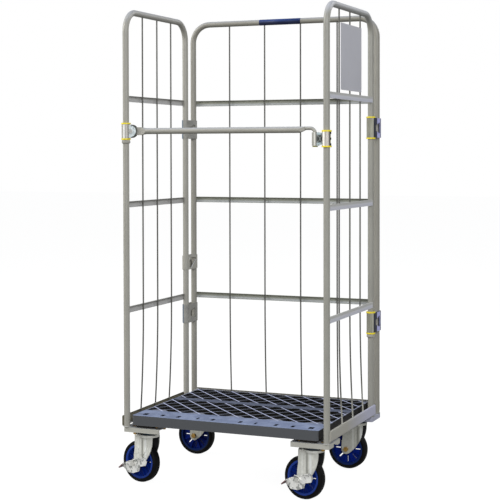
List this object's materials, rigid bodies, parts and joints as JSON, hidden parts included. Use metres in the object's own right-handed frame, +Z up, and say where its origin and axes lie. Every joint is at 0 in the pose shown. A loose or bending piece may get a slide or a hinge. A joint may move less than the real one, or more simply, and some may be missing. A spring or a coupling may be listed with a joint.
{
  "type": "roll cage container",
  "caption": "Wheeled steel cage with an open front, a lift-up gate bar, one hinged side, a lift-up plastic lattice deck and swivel casters with foot brakes.",
  "frame": {"origin": "on the floor under the centre of the whole container's box, casters pointing to -X included", "axes": "+Z up, the open front faces -Y, +X to the right as seen from the front"},
  "size_m": [0.8208, 0.6012, 1.7],
  "materials": {
    "paint": "satin",
    "card": "satin",
    "zinc": "bright",
    "gold_bolt": "satin",
    "dark_steel": "satin",
    "bush": "gloss",
    "liner": "matt",
    "pad": "matt",
    "deck": "matt",
    "wheel": "satin",
    "tyre": "matt"
  },
  "bodies": {
    "frame": {"back_frame_tube": "paint", "back_cross_bars": "paint", "back_rods": "paint", "back_bottom_rail": "paint", "left_frame_tube": "paint", "left_cross_bars": "paint", "left_rods": "paint", "left_bottom_rail": "paint", "left_tie_brackets": "paint", "left_loop_link": "paint", "front_left_bracket": "paint", "rear_left_bracket": "paint", "rear_right_bracket": "paint", "gate_sleeve": "zinc", "gate_bushes": "bush", "gate_stop_collar": "paint", "gate_pivot_bolt": "zinc", "hinge_straps": "zinc", "hinge_bushes": "bush", "deck_lugs": "paint", "deck_pins": "zinc", "deck_pads": "pad", "fixed_caster_bolts": "gold_bolt", "fixed_caster_plates": "dark_steel"},
    "right_panel": {"right_frame_tube": "paint", "right_cross_bars": "paint", "right_rods": "paint", "right_bottom_rail": "paint", "card_plate": "card", "front_right_bracket": "paint", "right_deck_pad": "pad", "right_caster_bolts": "gold_bolt", "catch_sleeve": "zinc", "catch_bushes": "bush", "catch_liner": "liner", "hinge_collar": "paint", "right_caster_plate": "dark_steel"},
    "gate_bar": {"gate_bar": "paint"},
    "deck": {"deck": "deck"},
    "fork_front_left": {"fork_front_left": "zinc", "axle_front_left": "zinc"},
    "wheel_front_left": {"core_front_left": "wheel", "tyre_front_left": "tyre"},
    "pedal_front_left": {"pedal_front_left": "zinc"},
    "fork_front_right": {"fork_front_right": "zinc", "axle_front_right": "zinc"},
    "wheel_front_right": {"core_front_right": "wheel", "tyre_front_right": "tyre"},
    "pedal_front_right": {"pedal_front_right": "zinc"},
    "fork_rear_left": {"fork_rear_left": "zinc", "axle_rear_left": "gold_bolt"},
    "wheel_rear_left": {"core_rear_left": "wheel", "tyre_rear_left": "tyre"},
    "fork_rear_right": {"fork_rear_right": "zinc", "axle_rear_right": "gold_bolt"},
    "wheel_rear_right": {"core_rear_right": "wheel", "tyre_rear_right": "tyre"}
  },
  "joints": [
    {"name": "right_panel_swing", "type": "hinge", "parent": "frame", "child": "right_panel", "pos_m": [0.39356, 0.20943, 0.9], "axis": [0, 0, 1], "range_deg": [0, 100]},
    {"name": "deck_lift", "type": "hinge", "parent": "frame", "child": "deck", "pos_m": [0.01606, 0.25643, 0.243], "axis": [-1, 0, 0], "range_deg": [0, 90]},
    {"name": "gate_bar_lift", "type": "hinge", "parent": "frame", "child": "gate_bar", "pos_m": [-0.33894, -0.28358, 1.2635], "axis": [0, -1, 0], "range_deg": [0, 65]},
    {"name": "swivel_front_left", "type": "hinge", "parent": "frame", "child": "fork_front_left", "pos_m": [-0.29794, -0.23258, 0.175], "axis": [0, 0, 1], "continuous": true},
    {"name": "roll_front_left", "type": "hinge", "parent": "fork_front_left", "child": "wheel_front_left", "pos_m": [-0.3342, -0.2252, 0.075], "axis": [0.1994, 0.9799, 0], "continuous": true},
    {"name": "brake_front_left", "type": "hinge", "parent": "fork_front_left", "child": "pedal_front_left", "pos_m": [-0.3342, -0.2252, 0.075], "axis": [-0.1994, -0.9799, 0], "range_deg": [0, 18]},
    {"name": "swivel_front_right", "type": "hinge", "parent": "right_panel", "child": "fork_front_right", "pos_m": [0.33006, -0.23258, 0.175], "axis": [0, 0, 1], "continuous": true},
    {"name": "roll_front_right", "type": "hinge", "parent": "fork_front_right", "child": "wheel_front_right", "pos_m": [0.2938, -0.2252, 0.075], "axis": [0.1994, 0.9799, 0], "continuous": true},
    {"name": "brake_front_right", "type": "hinge", "parent": "fork_front_right", "child": "pedal_front_right", "pos_m": [0.2938, -0.2252, 0.075], "axis": [-0.1994, -0.9799, 0], "range_deg": [0, 18]},
    {"name": "swivel_rear_left", "type": "hinge", "parent": "frame", "child": "fork_rear_left", "pos_m": [-0.29794, 0.24668, 0.175], "axis": [0, 0, 1], "continuous": true},
    {"name": "roll_rear_left", "type": "hinge", "parent": "fork_rear_left", "child": "wheel_rear_left", "pos_m": [-0.33489, 0.24861, 0.075], "axis": [0.0523, 0.9986, 0], "continuous": true},
    {"name": "swivel_rear_right", "type": "hinge", "parent": "frame", "child": "fork_rear_right", "pos_m": [0.33006, 0.24668, 0.175], "axis": [0, 0, 1], "continuous": true},
    {"name": "roll_rear_right", "type": "hinge", "parent": "fork_rear_right", "child": "wheel_rear_right", "pos_m": [0.29311, 0.24861, 0.075], "axis": [0.0523, 0.9986, 0], "continuous": true}
  ]
}
